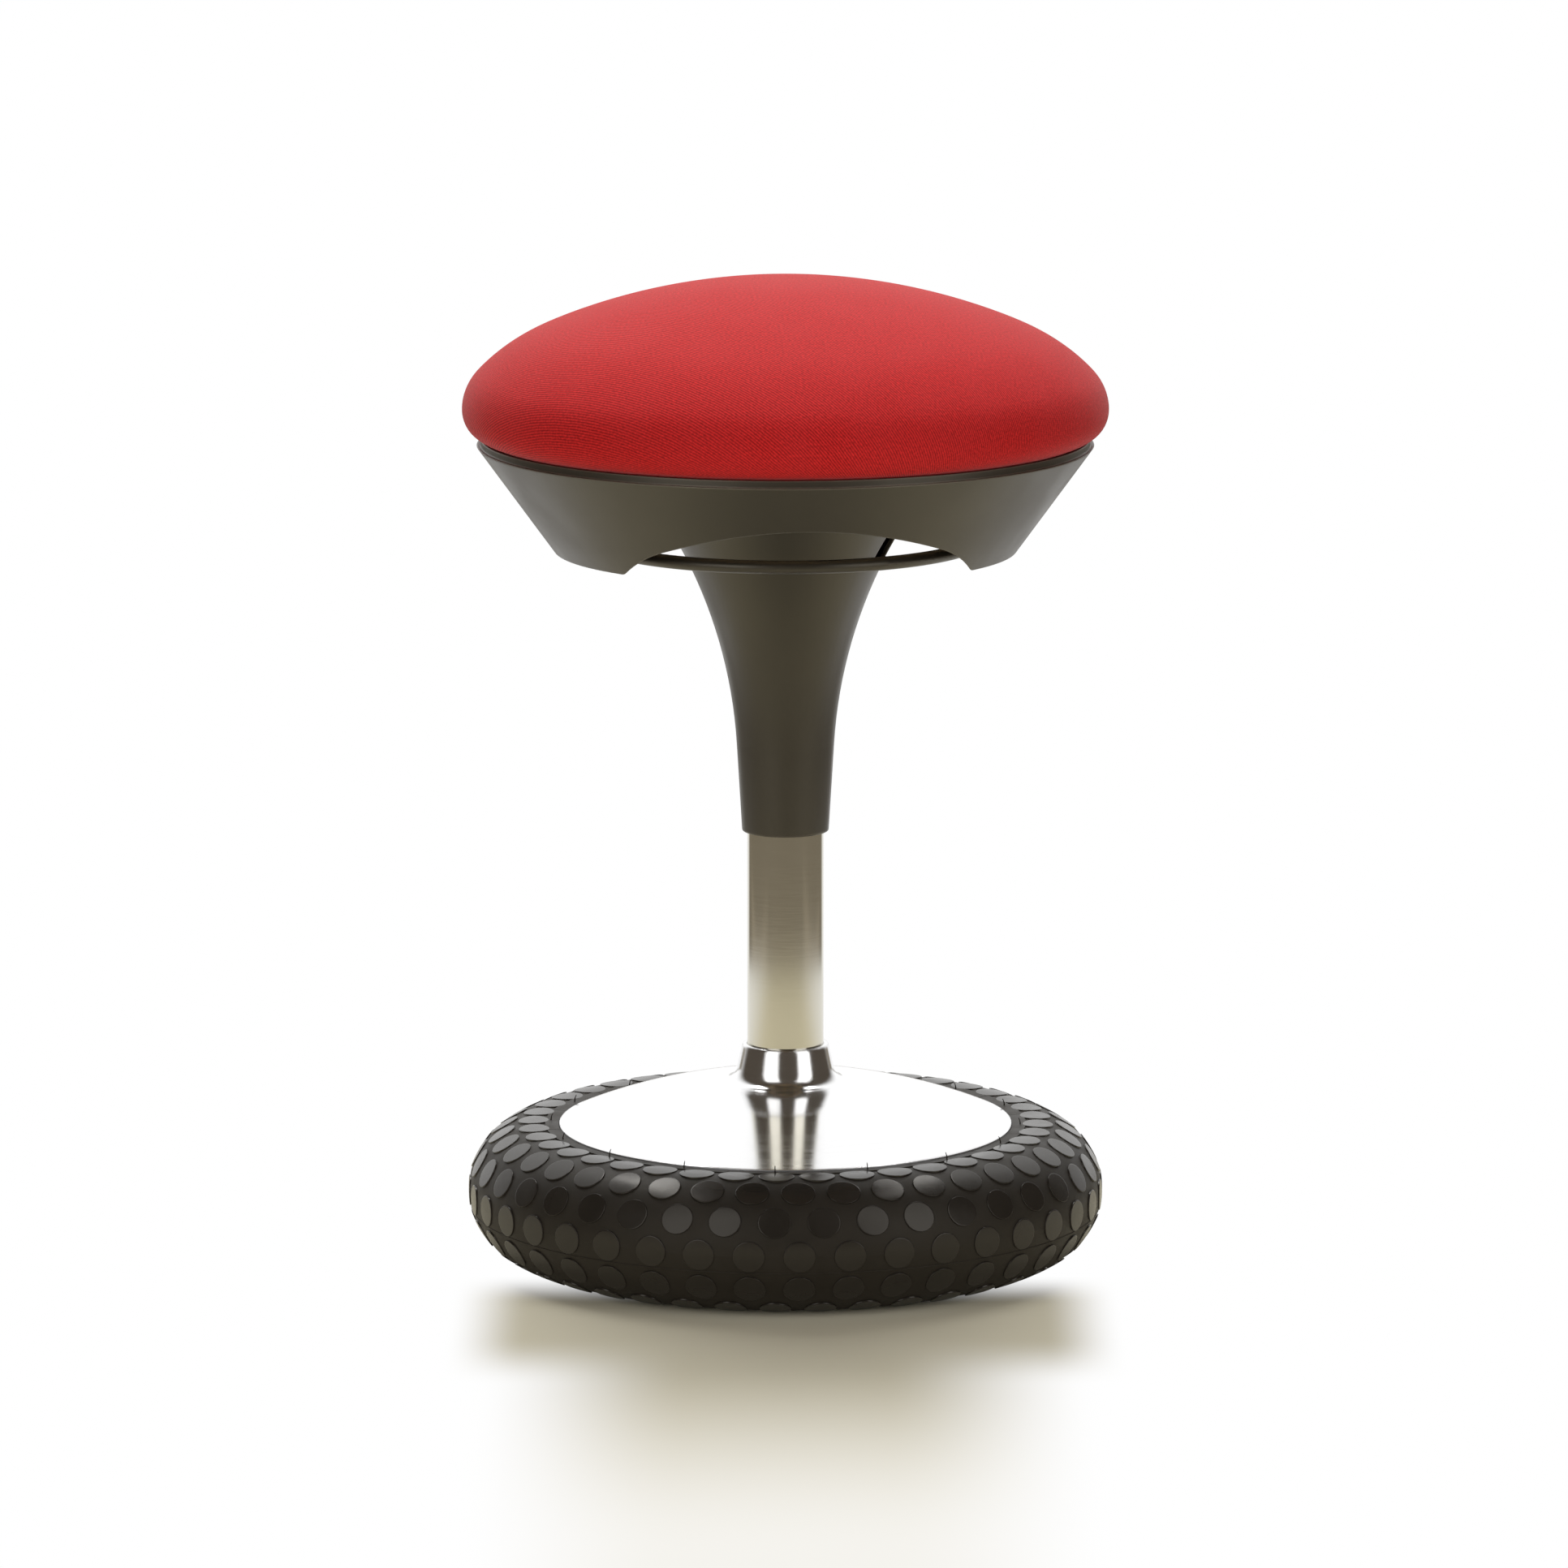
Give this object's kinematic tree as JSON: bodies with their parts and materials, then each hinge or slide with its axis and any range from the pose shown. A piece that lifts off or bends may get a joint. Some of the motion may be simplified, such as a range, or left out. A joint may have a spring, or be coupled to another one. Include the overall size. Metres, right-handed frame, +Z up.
{
  "type": "wobble stool",
  "caption": "Height-adjustable wobble stool: round cushion on a gas spring column, with a release ring under the seat and a weighted base in a rounded rubber tyre.",
  "frame": {"origin": "centre of the base on the floor, on the column's axis", "axes": "+Z up along the column, -Y to the front finger arch, +Y to the back finger arch"},
  "size_m": [0.3592, 0.3592, 0.551],
  "materials": {
    "tyre_rubber": "moulded, semi-matt, with round studs",
    "polished_aluminium": "mirror polished",
    "cast_iron": "as cast",
    "black_steel": "satin powder coat",
    "zinc_steel": "zinc plated",
    "satin_chrome": "satin chrome plate",
    "bearing_steel": "ground",
    "bush_plastic": "moulded acetal",
    "buffer_rubber": "moulded",
    "dark_plastic": "satin, warm dark grey",
    "plywood": "raw beech plywood",
    "foam": "moulded polyurethane foam",
    "red_fabric": "fine twill weave"
  },
  "bodies": {
    "base": {"rubber_tyre": "tyre_rubber", "base_dome": "polished_aluminium", "ballast_disc": "cast_iron", "bottom_plate": "black_steel", "base_screws": "zinc_steel", "column_tube": "satin_chrome", "tube_end_disc": "zinc_steel", "guide_bush": "bush_plastic", "lower_race": "bearing_steel"},
    "bearing": {"bearing_cage": "bush_plastic", "bearing_balls": "bearing_steel"},
    "gas_rod": {"piston_rod": "bearing_steel", "upper_race": "bearing_steel", "rod_clip": "zinc_steel", "bump_stop": "buffer_rubber", "piston": "zinc_steel", "piston_nut": "zinc_steel"},
    "seat": {"pressure_cylinder": "black_steel", "rod_guide": "bush_plastic", "valve_housing": "zinc_steel", "cone_socket": "black_steel", "seat_plate": "black_steel", "release_bracket": "zinc_steel", "column_cover": "dark_plastic", "cover_screws": "zinc_steel", "seat_shell": "dark_plastic", "shell_screws": "zinc_steel", "seat_board": "plywood", "t_nuts": "zinc_steel", "seat_screws": "zinc_steel", "seat_foam": "foam", "seat_cover": "red_fabric"},
    "ring": {"release_ring": "dark_plastic"},
    "valve": {"valve_pin": "zinc_steel"}
  },
  "joints": [
    {"name": "seat_swivel", "type": "hinge", "parent": "base", "child": "gas_rod", "pos_m": [0, 0, 0.026], "axis": [0, 0, 1], "continuous": true},
    {"name": "bearing_roll", "type": "hinge", "parent": "base", "child": "bearing", "pos_m": [0, 0, 0.026], "axis": [0, 0, 1], "continuous": true},
    {"name": "seat_lift", "type": "slide", "parent": "gas_rod", "child": "seat", "axis": [0, 0, 1], "range_m": [-0.11, 0]},
    {"name": "ring_tilt", "type": "hinge", "parent": "seat", "child": "ring", "pos_m": [0, -0.02, 0.4351], "axis": [-1, 0, 0], "range_deg": [0, 6], "stiffness_Nm_per_rad": 4, "springref_deg": -11.46},
    {"name": "valve_press", "type": "slide", "parent": "seat", "child": "valve", "axis": [0, 0, 1], "range_m": [-0.0022, 0]}
  ],
  "couplings": [
    {"joint": "bearing_roll", "follows": "seat_swivel", "ratio": 0.5},
    {"joint": "valve_press", "follows": "ring_tilt", "m_per_rad": -0.0205}
  ]
}
